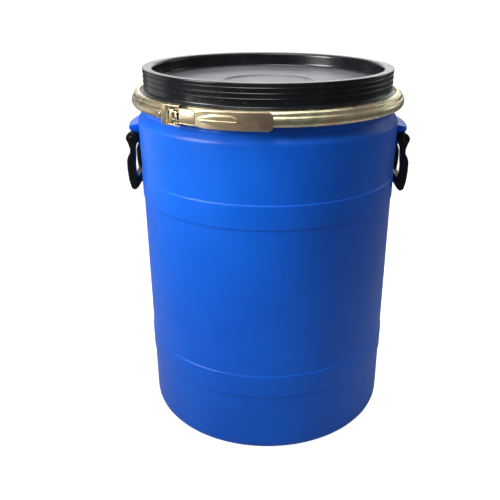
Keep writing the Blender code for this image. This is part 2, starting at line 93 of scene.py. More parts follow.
def rounded(corners, steps=4, closed=False):
    """Points along a line of (x, y, radius) corners, each corner rounded by its radius."""
    points = []
    count = len(corners)
    for i, (x, y, radius) in enumerate(corners):
        here = Vector((x, y))
        if radius == 0 or (not closed and i in (0, count - 1)):
            points.append(here)
            continue
        before = Vector(corners[i - 1][:2]) - here
        after = Vector(corners[(i + 1) % count][:2]) - here
        half = before.angle(after) / 2
        reach = min(radius / math.tan(half), before.length * 0.48, after.length * 0.48)
        start = here + before.normalized() * reach
        end = here + after.normalized() * reach
        for k in range(steps + 1):
            t = k / steps
            points.append(start * (1 - t) ** 2 + here * 2 * t * (1 - t) + end * t * t)
    return [(p.x, p.y) for p in points]


def smooth_object(name, vertices, faces, look):
    mesh = bpy.data.meshes.new(name)
    mesh.from_pydata(vertices, [], faces)
    bm = bmesh.new()
    bm.from_mesh(mesh)
    bmesh.ops.remove_doubles(bm, verts=bm.verts, dist=1e-7)
    bmesh.ops.recalc_face_normals(bm, faces=bm.faces)
    bm.to_mesh(mesh)
    bm.free()
    mesh.shade_smooth()
    mesh.materials.append(look)
    obj = bpy.data.objects.new(name, mesh)
    bpy.context.scene.collection.objects.link(obj)
    return obj


def turned(name, profile, look, centre=(0.0, 0.0), segments=TURN_SEGMENTS):
    """A closed profile of (radius, z) points turned a full turn about the vertical line through centre."""
    vertices, faces = [], []
    for radius, z in profile:
        for i in range(segments):
            a = 2 * math.pi * i / segments
            vertices.append((centre[0] + radius * math.cos(a), centre[1] + radius * math.sin(a), z))
    rows = len(profile)
    for row in range(rows):
        below = (row + 1) % rows
        for i in range(segments):
            j = (i + 1) % segments
            face = [row * segments + i, row * segments + j, below * segments + j, below * segments + i]
            if profile[row][0] < 1e-6 and profile[below][0] < 1e-6:
                continue
            faces.append(face)
    return smooth_object(name, vertices, faces, look)


def swept(name, sections, look, capped=True):
    """Sections, each a closed loop of points with the same length, joined into one solid."""
    size = len(sections[0])
    vertices = [tuple(point) for section in sections for point in section]
    faces = []
    for row in range(len(sections) - 1):
        for i in range(size):
            j = (i + 1) % size
            a, b = row * size, (row + 1) * size
            faces.append([a + i, a + j, b + j, b + i])
    if capped:
        faces.append(list(range(size)))
        faces.append([(len(sections) - 1) * size + i for i in range(size)][::-1])
    return smooth_object(name, vertices, faces, look)


def polar(radius, degrees, z):
    angle = math.radians(degrees)
    return Vector((radius * math.cos(angle), radius * math.sin(angle), z))


def arc_angle(arc):
    """Angle around the drum of a place on the closure, from its arc length along the pin circle."""
    return GAP_ANGLE + math.degrees(arc / PIN_CIRCLE)


def arc_sweep(name, profile, start, end, look, step=1.5):
    steps = max(1, math.ceil(abs(end - start) / step))
    angles = [start + (end - start) * i / steps for i in range(steps + 1)]
    return swept(name, [[polar(r, a, z) for r, z in profile] for a in angles], look)


def arc_box(name, radii, heights, arcs, look, step=2.0):
    (inner, outer), (low, high) = radii, heights
    profile = [(inner, low), (outer, low), (outer, high), (inner, high)]
    return arc_sweep(name, profile, arc_angle(arcs[0]), arc_angle(arcs[1]), look, step)


def joined(name, pieces):
    """The pieces' meshes in one object."""
    bm = bmesh.new()
    for piece in pieces:
        bm.from_mesh(piece.data)
    look = pieces[0].data.materials[0]
    for piece in pieces:
        bpy.data.objects.remove(piece, do_unlink=True)
    mesh = bpy.data.meshes.new(name)
    bm.to_mesh(mesh)
    bm.free()
    mesh.shade_smooth()
    mesh.materials.append(look)
    obj = bpy.data.objects.new(name, mesh)
    bpy.context.scene.collection.objects.link(obj)
    return obj


def applied(obj):
    """The object with its modifiers applied."""
    graph = bpy.context.evaluated_depsgraph_get()
    mesh = bpy.data.meshes.new_from_object(obj.evaluated_get(graph))
    obj.modifiers.clear()
    obj.data = mesh
    return obj


def boolean(obj, others, operation):
    for other in others:
        modifier = obj.modifiers.new(operation.lower(), "BOOLEAN")
        modifier.operation = operation
        modifier.solver = "EXACT"
        modifier.object = other
    applied(obj)
    for other in others:
        bpy.data.objects.remove(other, do_unlink=True)
    return obj


def edged(obj, width, segments=3, angle=35.0):
    """Small round edges where the faces meet at more than the angle."""
    bevel = obj.modifiers.new("edges", "BEVEL")
    bevel.width = width
    bevel.segments = segments
    bevel.limit_method = "ANGLE"
    bevel.angle_limit = math.radians(angle)
    bevel.use_clamp_overlap = True
    bevel.harden_normals = False
    applied(obj)
    obj.data.shade_smooth()
    obj.data.set_sharp_from_angle(angle=math.radians(50))
    return obj


def moulded(obj, voxel, rounds):
    """The object as one skin with soft inner and outer corners, as if it came out of a mould."""
    remesh = obj.modifiers.new("skin", "REMESH")
    remesh.mode = "VOXEL"
    remesh.voxel_size = voxel
    remesh.use_smooth_shade = True
    soften = obj.modifiers.new("soften", "SMOOTH")
    soften.factor = 0.6
    soften.iterations = rounds
    applied(obj)
    obj.data.shade_smooth()
    return obj


# ---------------------------------------------------------------- materials

class Nodes:
    """A new material's node tree, with short calls to add and link nodes."""

    def __init__(self, name):
        self.material = bpy.data.materials.new(name)
        self.material.use_nodes = True
        self.tree = self.material.node_tree
        self.shader = self.tree.nodes["Principled BSDF"]
        self.place = self.tree.nodes.new("ShaderNodeTexCoord").outputs["Object"]

    def link(self, source, target):
        self.tree.links.new(source, target)

    def stretched(self, scale):
        node = self.tree.nodes.new("ShaderNodeMapping")
        node.inputs["Scale"].default_value = scale
        self.link(self.place, node.inputs["Vector"])
        return node.outputs["Vector"]

    def noise(self, scale, detail=3.0, roughness=0.55, vector=None, distortion=0.0):
        node = self.tree.nodes.new("ShaderNodeTexNoise")
        node.inputs["Scale"].default_value = scale
        node.inputs["Detail"].default_value = detail
        node.inputs["Roughness"].default_value = roughness
        node.inputs["Distortion"].default_value = distortion
        self.link(vector or self.place, node.inputs["Vector"])
        return node.outputs["Fac"]

    def span(self, value, start, end, low, high):
        """value's range from start to end, mapped to low to high."""
        node = self.tree.nodes.new("ShaderNodeMapRange")
        node.inputs["From Min"].default_value = start
        node.inputs["From Max"].default_value = end
        node.inputs["To Min"].default_value = low
        node.inputs["To Max"].default_value = high
        self.link(value, node.inputs["Value"])
        return node.outputs["Result"]

    def ramp(self, value, stops):
        node = self.tree.nodes.new("ShaderNodeValToRGB")
        elements = node.color_ramp.elements
        while len(elements) < len(stops):
            elements.new(0.5)
        for element, (position, colour) in zip(elements, stops):
            element.position = position
            element.color = (*colour, 1.0)
        self.link(value, node.inputs["Fac"])
        return node.outputs["Color"]

    def mix(self, factor, first, second):
        node = self.tree.nodes.new("ShaderNodeMix")
        node.data_type = "RGBA"
        sockets = (node.inputs["Factor"], node.inputs[6], node.inputs[7])
        for value, socket in zip((factor, first, second), sockets):
            if isinstance(value, tuple):
                socket.default_value = (*value, 1.0)
            elif isinstance(value, float):
                socket.default_value = value
            else:
                self.link(value, socket)
        return node.outputs[2]

    def bump(self, height, distance, strength, normal=None):
        node = self.tree.nodes.new("ShaderNodeBump")
        node.inputs["Distance"].default_value = distance
        node.inputs["Strength"].default_value = strength
        self.link(height, node.inputs["Height"])
        if normal:
            self.link(normal, node.inputs["Normal"])
        return node.outputs["Normal"]

    def add(self, first, second):
        node = self.tree.nodes.new("ShaderNodeMath")
        node.operation = "ADD"
        self.link(first, node.inputs[0])
        self.link(second, node.inputs[1])
        return node.outputs["Value"]

    def times(self, first, second):
        node = self.tree.nodes.new("ShaderNodeMath")
        node.operation = "MULTIPLY"
        self.link(first, node.inputs[0])
        self.link(second, node.inputs[1])
        return node.outputs["Value"]

    def axis(self, name):
        node = self.tree.nodes.new("ShaderNodeSeparateXYZ")
        self.link(self.place, node.inputs["Vector"])
        return node.outputs[name]

    def radius(self):
        """Distance from the drum's axis."""
        flat = self.tree.nodes.new("ShaderNodeVectorMath")
        flat.operation = "MULTIPLY"
        flat.inputs[1].default_value = (1.0, 1.0, 0.0)
        self.link(self.place, flat.inputs[0])
        length = self.tree.nodes.new("ShaderNodeVectorMath")
        length.operation = "LENGTH"
        self.link(flat.outputs["Vector"], length.inputs[0])
        return length.outputs["Value"]

    def finish(self, colour, roughness, normal, **constants):
        self.link(colour, self.shader.inputs["Base Color"])
        self.link(roughness, self.shader.inputs["Roughness"])
        self.link(normal, self.shader.inputs["Normal"])
        for name, value in constants.items():
            self.shader.inputs[name.replace("_", " ")].default_value = value
        return self.material


def blue_plastic():
    """Blow-moulded polyethylene: slow waves, a fine orange peel, faint upright drag marks and pale scuffs."""
    n = Nodes("blue_hdpe")
    tone = n.ramp(n.noise(5.0, 4.0), [(0.30, (0.0012, 0.098, 0.62)), (0.70, (0.0022, 0.132, 0.74))])
    marks = n.noise(9.0, 5.0, 0.62, n.stretched((18.0, 18.0, 1.6)))
    scuffs = n.span(marks, 0.64, 0.78, 0.0, 0.20)
    colour = n.mix(scuffs, tone, (0.10, 0.26, 0.85))
    rough = n.add(n.span(n.noise(40.0, 4.0), 0.3, 0.7, 0.34, 0.44), n.span(marks, 0.60, 0.80, 0.0, 0.12))
    peel = n.bump(n.noise(520.0, 2.0), 0.0002, 0.22)
    waves = n.bump(n.noise(11.0, 1.0), 0.0016, 0.25, peel)
    return n.finish(colour, rough, waves, IOR=1.50, Specular_IOR_Level=0.30)


def black_plastic():
    """Glossy black injection-moulded plastic, greyed by handling, with fine scratches."""
    n = Nodes("black_hdpe")
    tone = n.ramp(n.noise(14.0, 5.0, 0.6), [(0.35, (0.0030, 0.0032, 0.0045)), (0.75, (0.011, 0.012, 0.015))])
    scratches = n.noise(30.0, 6.0, 0.65, n.stretched((2.0, 14.0, 6.0)), 0.6)
    dust = n.span(scratches, 0.58, 0.80, 0.0, 0.10)
    colour = n.mix(dust, tone, (0.20, 0.21, 0.23))
    height = n.axis("Z")
    low = n.span(height, LID_FLOOR + 0.0015, LID_FLOOR + 0.0100, 1.0, 0.0)
    radius = n.radius()
    # A paler, rougher grey in patches on the lid's floor, fading out above its bottom and towards its inner
    # wall.
    paler_floor = n.times(n.times(low, n.span(radius, 0.1600, 0.1660, 1.0, 0.0)),
                      n.span(n.noise(7.0, 5.0, 0.62), 0.25, 0.75, 0.55, 1.0))
    colour = n.mix(paler_floor, colour, (0.150, 0.152, 0.165))
    rough = n.add(n.span(n.noise(24.0, 5.0), 0.3, 0.75, 0.16, 0.29), n.span(scratches, 0.55, 0.8, 0.0, 0.16))
    rough = n.add(rough, n.span(paler_floor, 0.0, 1.0, 0.0, 0.15))
    peel = n.bump(n.noise(380.0, 2.0), 0.0002, 0.18)
    waves = n.bump(n.noise(16.0, 2.0), 0.0016, 0.22, peel)
    return n.finish(colour, rough, waves, IOR=1.50, Specular_IOR_Level=0.38)


def handle_plastic():
    """Satin black nylon with a fine spark-eroded grain."""
    n = Nodes("black_nylon")
    tone = n.ramp(n.noise(60.0, 4.0), [(0.35, (0.0012, 0.0012, 0.0015)), (0.75, (0.0045, 0.0045, 0.0050))])
    rough = n.span(n.noise(90.0, 4.0), 0.3, 0.7, 0.28, 0.42)
    grain = n.bump(n.noise(1400.0, 3.0), 0.00015, 0.30)
    waves = n.bump(n.noise(45.0, 2.0), 0.0006, 0.20, grain)
    return n.finish(tone, rough, waves, IOR=1.50, Specular_IOR_Level=0.30)


def yellow_zinc():
    """Yellow passivated zinc: metal with patches of straw, olive, rose and brown, and rolling marks."""
    n = Nodes("yellow_zinc")
    film = n.noise(13.0, 3.0, 0.5, n.stretched((1.0, 1.0, 2.2)), 0.8)
    colour = n.ramp(film, [
        (0.28, (0.50, 0.34, 0.23)), (0.38, (0.76, 0.57, 0.38)), (0.47, (0.78, 0.68, 0.44)),
        (0.54, (0.52, 0.52, 0.31)), (0.62, (0.84, 0.74, 0.52)), (0.72, (0.66, 0.46, 0.38)),
    ])
    speckle = n.noise(150.0, 5.0, 0.6)
    colour = n.mix(n.span(speckle, 0.55, 0.80, 0.0, 0.35), colour, (0.36, 0.26, 0.13))
    rough = n.add(n.span(n.noise(48.0, 4.0), 0.3, 0.7, 0.22, 0.36), n.span(speckle, 0.5, 0.8, 0.0, 0.12))
    rolling = n.bump(n.noise(60.0, 3.0, 0.6, n.stretched((1.0, 1.0, 14.0))), 0.0002, 0.30)
    dents = n.bump(n.noise(34.0, 2.0), 0.0010, 0.20, rolling)
    return n.finish(colour, rough, dents, Metallic=1.0)


def lever_zinc():
    """The same plating on the pressed closure: satin, straw to tan, handled brown towards the grip's end."""
    n = Nodes("lever_zinc")
    film = n.noise(16.0, 3.0, 0.5, n.stretched((1.0, 1.0, 1.8)), 0.6)
    colour = n.ramp(film, [
        (0.30, (0.54, 0.39, 0.25)), (0.42, (0.72, 0.56, 0.36)), (0.52, (0.64, 0.54, 0.32)),
        (0.62, (0.80, 0.66, 0.44)), (0.74, (0.60, 0.43, 0.32)),
    ])
    colour = n.mix(n.span(n.axis("X"), -0.062, -0.004, 0.0, 0.75), colour, (0.50, 0.33, 0.235))
    speckle = n.noise(170.0, 5.0, 0.6)
    colour = n.mix(n.span(speckle, 0.52, 0.78, 0.0, 0.30), colour, (0.34, 0.23, 0.14))
    rough = n.add(n.span(n.noise(52.0, 4.0), 0.3, 0.7, 0.31, 0.42), n.span(speckle, 0.5, 0.8, 0.0, 0.10))
    rolling = n.bump(n.noise(60.0, 3.0, 0.6, n.stretched((1.0, 1.0, 14.0))), 0.0002, 0.25)
    return n.finish(colour, rough, n.bump(n.noise(30.0, 2.0), 0.0008, 0.15, rolling), Metallic=1.0)


def pin_steel():
    """Zinc-plated steel of rivets and pins, with a dull grain and darker specks."""
    n = Nodes("zinc_steel")
    tone = n.ramp(n.noise(240.0, 4.0), [(0.30, (0.34, 0.30, 0.22)), (0.70, (0.68, 0.62, 0.48))])
    rough = n.span(n.noise(300.0, 4.0), 0.3, 0.7, 0.26, 0.42)
    return n.finish(tone, rough, n.bump(n.noise(900.0, 2.0), 0.0001, 0.30), Metallic=1.0)


def blackened_steel():
    """Blackened steel of the handle pins, worn grey on its high spots."""
    n = Nodes("blackened_steel")
    tone = n.ramp(n.noise(260.0, 4.0), [(0.40, (0.015, 0.015, 0.016)), (0.80, (0.07, 0.07, 0.07))])
    rough = n.span(n.noise(300.0, 4.0), 0.3, 0.7, 0.32, 0.48)
    return n.finish(tone, rough, n.bump(n.noise(900.0, 2.0), 0.0001, 0.30), Metallic=1.0)


def seal_rubber():
    """Matt black rubber with a talc bloom."""
    n = Nodes("seal_rubber")
    tone = n.ramp(n.noise(70.0, 5.0), [(0.40, (0.010, 0.010, 0.010)), (0.80, (0.060, 0.060, 0.058))])
    rough = n.span(n.noise(120.0, 3.0), 0.3, 0.7, 0.70, 0.85)
    return n.finish(tone, rough, n.bump(n.noise(700.0, 3.0), 0.0002, 0.35))


def floor_paper():
    """Plain pale studio paper."""
    n = Nodes("studio_paper")
    tone = n.ramp(n.noise(3.0, 2.0), [(0.30, (0.40, 0.40, 0.40)), (0.70, (0.43, 0.43, 0.43))])
    rough = n.span(n.noise(30.0, 2.0), 0.3, 0.7, 0.85, 0.95)
    return n.finish(tone, rough, n.bump(n.noise(800.0, 2.0), 0.0001, 0.10))


# ---------------------------------------------------------------- drum body

def drum_profile():
    inner = BODY_RADIUS - WALL
    corners = [
        (0.1800, RIM_TOP, 0.0010), (0.1910, RIM_TOP, 0.0016), (0.1910, 0.4940, 0.0014),
        (0.1862, 0.4906, 0.0020), (NECK_RADIUS, 0.4890, 0.0020), (NECK_RADIUS, 0.4800, 0.0030),
        (SHOULDER_RADIUS, 0.4690, 0.0110), (SHOULDER_RADIUS, 0.4480, 0.0200),
        (BODY_RADIUS, UPPER_BAND[1] + 0.0002, 0.0009), (BAND_RADIUS, UPPER_BAND[1] - 0.0016, 0.0012),
        (BAND_RADIUS, UPPER_BAND[0] + 0.0018, 0.0014), (BODY_RADIUS, UPPER_BAND[0], 0.0012),
        (BODY_RADIUS, LOWER_BAND[1] + 0.0002, 0.0009), (BAND_RADIUS, LOWER_BAND[1] - 0.0016, 0.0012),
        (BAND_RADIUS, LOWER_BAND[0] + 0.0018, 0.0014), (BODY_RADIUS, LOWER_BAND[0], 0.0012),
        (BODY_RADIUS, 0.0000, 0.0150), (0.1560, 0.0000, 0.0015), (0.1535, 0.0014, 0.0015),
        (0.0300, 0.0014, 0.0010), (0.0280, 0.0008, 0.0010), (0.0, 0.0008, 0.0),
        (0.0, WALL, 0.0), (inner, WALL, 0.0120), (inner, 0.3905, 0.0200), (0.1883, 0.4560, 0.0100),
        (0.1868, 0.4680, 0.0060), (NECK_RADIUS - WALL, 0.4770, 0.0060),
    ]
    return rounded(corners, steps=6, closed=True)


def lug_shelf(name, look):
    """The moulded shelf over the handle's arms."""
    half = math.degrees(math.asin(ARM_OUTER_Y / LUG_OUTER_RADIUS))
    inside = BODY_RADIUS - WALL / 2
    corners = [(inside, 0.4535, 0), (0.1960, 0.4535, 0.0020), (LUG_OUTER_RADIUS, 0.4548, 0.0010),
               (LUG_OUTER_RADIUS, 0.4596, 0.0014), (0.2000, 0.4614, 0.0030), (inside, 0.4618, 0)]
    shelf = arc_sweep(name, rounded(corners, steps=4), -half, half, look, step=1.0)
    return shelf


def lug_block(name, look):
    """The block between the handle's arms, rounded about the pin."""
    front = rounded([(0.1905, 0.4312, 0), (0.1985, 0.4332, 0.0030), (0.2029, 0.4370, 0.0040),
                     (0.2029, 0.4460, 0.0040), (0.2012, 0.4540, 0)], steps=5)
    half = ARM_INNER_Y - 0.0015
    steps = 12
    sections = []
    for i in range(steps + 1):
        y = half * (2 * i / steps - 1)
        back = math.sqrt((BODY_RADIUS - WALL / 2) ** 2 - y**2)
        outline = [(back, front[0][1]), *front, (back, front[-1][1])]
        sections.append([Vector((x, y, z)) for x, z in outline])
    return swept(name, sections, look)


def half_turned(obj):
    obj.data.transform(Matrix.Rotation(math.pi, 4, "Z"))
    return obj


def make_drum(look):
    drum = turned("drum", drum_profile(), look)
    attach(drum, "drum")
    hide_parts("drum_body")
    for side in ("right", "left"):
        lug = joined(f"drum_lug_{side}", [edged(lug_shelf("shelf", look), 0.0009),
                                          edged(lug_block("block", look), 0.0009)])
        if side == "left":
            half_turned(lug)
        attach(lug, "drum")


# ---------------------------------------------------------------- lid

RIDGES = (0.5345, 0.5280, 0.5215)
RIDGE_HEIGHT = 0.0009
RIDGE_DEPTH = 0.0005


def lid_profile():
    wall = LID_WALL_RADIUS - RIDGE_DEPTH
    panel = LID_FLOOR - 0.0025
    corners = [
        (0.0, panel, 0), (0.0655, panel, 0.0014), (0.0685, LID_FLOOR, 0.0014), (0.1667, LID_FLOOR, 0.0065),
        (0.1667, LID_TOP, 0.0050), (LID_WALL_RADIUS, LID_TOP, 0.0024), (LID_WALL_RADIUS, 0.5376, 0.0008),
        (wall, 0.5370, 0.0006),
    ]
    for z in RIDGES:
        half = RIDGE_HEIGHT / 2
        corners += [(wall, z + half + 0.0004, 0.0003), (LID_WALL_RADIUS, z + 0.0002, 0.0003),
                    (LID_WALL_RADIUS, z - 0.0002, 0.0003), (wall, z - half - 0.0004, 0.0003)]
    corners += [
        (wall, 0.5120, 0.0030), (0.1885, 0.5072, 0.0030), (0.1918, 0.5052, 0.0020), (0.1918, 0.5000, 0.0006),
        (0.1900, 0.5000, 0.0005), (0.1900, 0.5043, 0.0008), (0.1790, 0.5043, 0.0008),
        (0.1790, 0.4900, 0.0010), (0.1765, 0.4900, 0.0010), (0.1765, 0.5075, 0.0020),
        (0.1778, 0.5090, 0.0010), (0.1778, 0.5375, 0.0020), (0.1693, 0.5375, 0.0020),
        (0.1693, 0.5153, 0.0020), (0.0700, 0.5153, 0.0015), (0.0680, 0.5128, 0.0015),
        (0.0, 0.5128, 0),
    ]
    return rounded(corners, steps=5, closed=True)


def make_lid(look, rubber):
    lid = turned("lid_moulding", lid_profile(), look)
    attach(lid, "lid")
    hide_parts("lid")
    section = [(0.1820, 0.5040, 0.0012), (0.1892, 0.5040, 0.0012),
               (0.1892, 0.4994, 0.0018), (0.1820, 0.4994, 0.0018)]
    seal = turned("lid_seal", rounded(section, steps=5, closed=True), rubber)
    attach(seal, "lid")
    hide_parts("lid_gasket")


# ---------------------------------------------------------------- closing ring

def offset_line(points, distance):
    """The line of points moved sideways by distance, to the left of its direction."""
    normals = []
    for (ax, ay), (bx, by) in zip(points, points[1:]):
        length = math.hypot(bx - ax, by - ay)
        normals.append(Vector((-(by - ay) / length, (bx - ax) / length)))
    moved = []
    for i, point in enumerate(points):
        before = normals[max(i - 1, 0)]
        after = normals[min(i, len(normals) - 1)]
        middle = (before + after).normalized()
        moved.append(Vector(point) + middle * distance / max(0.6, middle.dot(before)))
    return [(p.x, p.y) for p in moved]


def ring_section():
    outer = rounded([
        (0.1862, 0.5104, 0), (0.1905, 0.5091, 0.0020), (0.1938, 0.5070, 0.0026), (0.1944, 0.5035, 0.0016),
        (0.1968, 0.5016, 0.0012), (RING_NOSE_RADIUS, 0.4990, 0.0028),
        (RING_NOSE_RADIUS, 0.4942, 0.0034), (0.1955, 0.4908, 0.0030),
        (0.1912, 0.4892, 0.0020), (0.1874, 0.4884, 0),
    ], steps=5)
    inner = offset_line(outer, -RING_SHEET)
    edge_top = [((outer[0][0] + inner[0][0]) / 2 - 0.0005, (outer[0][1] + inner[0][1]) / 2 + 0.0001)]
    edge_low = [((outer[-1][0] + inner[-1][0]) / 2 - 0.0005, (outer[-1][1] + inner[-1][1]) / 2 - 0.0001)]
    return edge_top + outer + edge_low + inner[::-1]


def make_ring(look):
    section = ring_section()
    gap_low, gap_high = GAP_ANGLE + GAP_HALF_ANGLE, GAP_ANGLE + 360 - GAP_HALF_ANGLE
    seam = 0.02
    right = arc_sweep("ring_strip_right", section, gap_low, BACK_ANGLE - seam, look, step=1.5)
    left = arc_sweep("ring_strip_left", section, BACK_ANGLE + seam, gap_high, look, step=1.5)
    for strip, body, side, nodes in ((right, "ring_right", -1, ["ring_right_half", "ring_back"]),
                                     (left, "ring_left", 1, ["ring_left_half"])):
        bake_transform(strip)
        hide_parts(*nodes)


# ---------------------------------------------------------------- closure

def make_catch(look):
    """The box bracket of the catch: a plate with a tall window, rails over the gap, and a riveted tab."""
    low, high = 0.4870, 0.5125
    rail = 0.0024
    body = arc_box("catch_box", (BRACKET_INNER, PLATE_OUTER), (low, high), (-0.0235, 0.0075), look)
    tab = arc_box("tab", (BRACKET_INNER + 0.0001, BRACKET_INNER + BRACKET_SHEET - 0.0001), (0.4915, 0.5020),
                  (-0.0395, -0.0220), look)
    web = BRACKET_INNER + BRACKET_SHEET
    cavity = arc_box("cavity", (web, PLATE_INNER), (low + 0.0015, high - 0.0015), (-0.0300, 0.0100), look)
    past_web = arc_box("past_web", (0.1960, PLATE_INNER), (low - 0.001, high + 0.001),
                       (-0.0052, 0.0100), look)
    window = arc_box("window", (0.2030, 0.2080), (low + rail, high - rail), (-0.0131, 0.0100), look)
    past_heads = (MIDDLE_Z - 0.0112, MIDDLE_Z + 0.0112)
    notch = arc_box("notch", (0.2030, 0.2080), past_heads, (-0.0005, 0.0100), look)
    boolean(body, [tab], "UNION")
    boolean(body, [cavity, past_web, window, notch], "DIFFERENCE")
    return edged(body, 0.0004, segments=2)


def lever_half_height(arc):
    """Half the lever's height: narrow by the catch, wide along the grip, and round at its free end."""
    narrow, wide, end = 0.0095, 0.0115, 0.127
    widen = min(1.0, max(0.0, (arc - 0.030) / 0.012))
    half = narrow + (wide - narrow) * widen * widen * (3 - 2 * widen)
    run = 0.0075
    if arc > end - run:
        t = min(1.0, (arc - (end - run)) / run)
        half -= 0.0070 * (1 - math.sqrt(max(0.0, 1 - t * t)))
    return half


def lever_relief(arc, height):
    """How far the pressed boat-shaped rib of the grip stands out of the lever at this place."""
    start, end, half_height, rise = 0.0345, 0.0850, 0.0070, 0.0016
    if not start < arc < end:
        return 0.0
    along = (arc - start) / (end - start)
    width = half_height * min(1.0, 2.6 * along) ** 0.6 * min(1.0, 7.0 * (1 - along)) ** 0.5
    centre = 0.0004
    across = abs(height - centre) / max(width, 1e-5)
    if across >= 1.0:
        return 0.0
    ridge_at = -0.0012
    ridge = max(0.0, 1.0 - abs(height - ridge_at) / 0.0011)
    edge = min(1.0, (1.0 - across) / 0.42)
    base = 0.62 * edge * edge * (3 - 2 * edge)
    return rise * min(1.0, base + 0.38 * ridge * ridge * (3 - 2 * ridge) * min(1.0, edge))


def lever_section(arc):
    half = lever_half_height(arc)
    lip = 0.2018
    corner = 0.0012
    steps = 56
    face = []
    for i in range(steps + 1):
        height = (2 * i / steps - 1) * (half - corner)
        face.append((PLATE_OUTER + lever_relief(arc, height), height))
    outside = [(lip, -half), (PLATE_OUTER - corner, -half),
               (PLATE_OUTER - 0.3 * corner, -half + 0.3 * corner)]
    back_half = half - 0.0013
    inside = [(lip, back_half), (PLATE_INNER, back_half), (PLATE_INNER, -back_half), (lip, -back_half)]
    profile = outside + face + [(r, -h) for r, h in reversed(outside)] + inside
    angle = arc_angle(arc)
    return [polar(r, angle, MIDDLE_Z + h) for r, h in profile]


def make_lever(look):
    """The lever: a curved pressed plate with turned edges, a grip rib, and two ears at its pivot."""
    first, last = 0.0305, 0.1195
    arcs = [first + (last - first) * i / 130 for i in range(131)]
    arcs += [0.1200 + 0.0070 * math.sin(math.pi / 2 * i / 10) for i in range(1, 11)]
    plate = swept("lever_plate", [lever_section(arc) for arc in arcs], look)
    pivot = polar(PIN_CIRCLE, arc_angle(LEVER_PIVOT_ARC), 0)
    sheet = 0.0015
    ears = []
    for name, low in (("ear_low", MIDDLE_Z - 0.0094), ("ear_high", MIDDLE_Z + 0.0094 - sheet)):
        outline = [polar(0.1992, arc_angle(0.0340), 0), polar(0.2046, arc_angle(0.0340), 0)]
        outline += [polar(0.2046, arc_angle(arc), 0) for arc in (0.0220, 0.0120, 0.0060)]
        towards = math.radians(arc_angle(LEVER_PIVOT_ARC))
        outline += [pivot + 0.0034 * Vector((math.cos(towards + a), math.sin(towards + a), 0))
                    for a in [math.radians(d) for d in range(60, -241, -20)]]
        outline += [polar(0.1992, arc_angle(arc), 0) for arc in (0.0075, 0.0140, 0.0220)]
        sections = [[p + Vector((0, 0, z)) for p in outline] for z in (low, low + sheet)]
        ears.append(edged(swept(name, sections, look), 0.0003, segments=2))
    lever = joined("lever_pressing", [edged(plate, 0.00035, segments=2), *ears])
    lever.data.set_sharp_from_angle(angle=math.radians(50))
    return lever


def make_link(look):
    """The link: a plate in the lever's mouth, with a hook, slots, an eye, and notches past the rivets."""
    inner, outer = PLATE_INNER, PLATE_OUTER
    crank = LEVER_PIVOT_ARC + CRANK

    def about_middle(half):
        return (MIDDLE_Z - half, MIDDLE_Z + half)

    plate = arc_box("link_strip", (inner, outer), about_middle(0.0076), (-0.0125, 0.0297), look)
    hook = arc_box("hook", (CATCH_CIRCLE - 0.0006, outer - 0.0001), about_middle(0.0050),
                   (-0.0124, -0.0117), look)
    boolean(plate, [hook], "UNION")
    notch = (-0.0020, 0.0074)
    slots = [arc_box("slot_1", (0.2030, 0.2080), about_middle(0.0062), (-0.0113, -0.0088), look),
             arc_box("slot_2", (0.2030, 0.2080), about_middle(0.0030), (-0.0040, 0.0004), look),
             arc_box("slot_3", (0.2030, 0.2080), about_middle(0.0044), (0.0032, 0.0076), look),
             arc_box("low_notch", (0.2030, 0.2080), (MIDDLE_Z - 0.0090, MIDDLE_Z - 0.0056), notch, look),
             arc_box("high_notch", (0.2030, 0.2080), (MIDDLE_Z + 0.0056, MIDDLE_Z + 0.0090), notch, look)]
    boolean(plate, slots, "DIFFERENCE")
    centre = polar(PIN_CIRCLE, arc_angle(crank), 0)
    eye_profile = [(0.0017, MIDDLE_Z - 0.0060), (0.0027, MIDDLE_Z - 0.0060),
                   (0.0027, MIDDLE_Z + 0.0060), (0.0017, MIDDLE_Z + 0.0060)]
    eye = turned("eye", eye_profile, look, centre=centre[:2], segments=32)
    link = joined("link_pressing", [edged(plate, 0.0003, segments=2), edged(eye, 0.0003, segments=2)])
    link.data.set_sharp_from_angle(angle=math.radians(50))
    return link


def upright_pin(name, centre, radius, heights, look, head=0.0, head_height=0.0):
    """A vertical pin with slightly domed ends, and low heads beyond its ends where head is given."""
    low, high = heights
    if head:
        half = [(0.0, high + head_height, 0), (head * 0.75, high + head_height * 0.9, 0.0006),
                (head, high + 0.0003, 0.0002), (head, high, 0.0001), (radius, high, 0)]
    else:
        half = [(0.0, high, 0), (radius, high, 0.0004)]
    top = rounded(half, steps=4) if head else rounded(half + [(radius, (low + high) / 2, 0)], steps=4)
    middle = (low + high) / 2
    bottom = [(r, 2 * middle - z) for r, z in reversed(top)]
    return turned(name, top + bottom, look, centre=centre[:2], segments=40)


def make_closure(zinc, steel):
    catch = make_catch(zinc)
    catch.name = "catch_pressing"
    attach(catch, "ring_left")
    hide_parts("catch_bracket")
    lever = make_lever(zinc)
    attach(lever, "lever")
    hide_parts("lever")
    link = make_link(zinc)
    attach(link, "link")
    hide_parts("link")
    place = polar(CATCH_CIRCLE, arc_angle(CATCH_ARC), 0)
    pin = upright_pin("catch_bar", place, 0.0016, (0.4862, 0.5133), steel)
    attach(pin, "ring_left")
    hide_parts("catch_pin")
    centre = polar(PIN_CIRCLE, arc_angle(LEVER_PIVOT_ARC + CRANK), 0)
    pin = upright_pin("link_hinge_pin", centre, 0.0015, (0.4897, 0.5093), steel,
                      head=0.0023, head_height=0.0009)
    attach(pin, "lever")
    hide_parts("link_pin")


# ---------------------------------------------------------------- handles

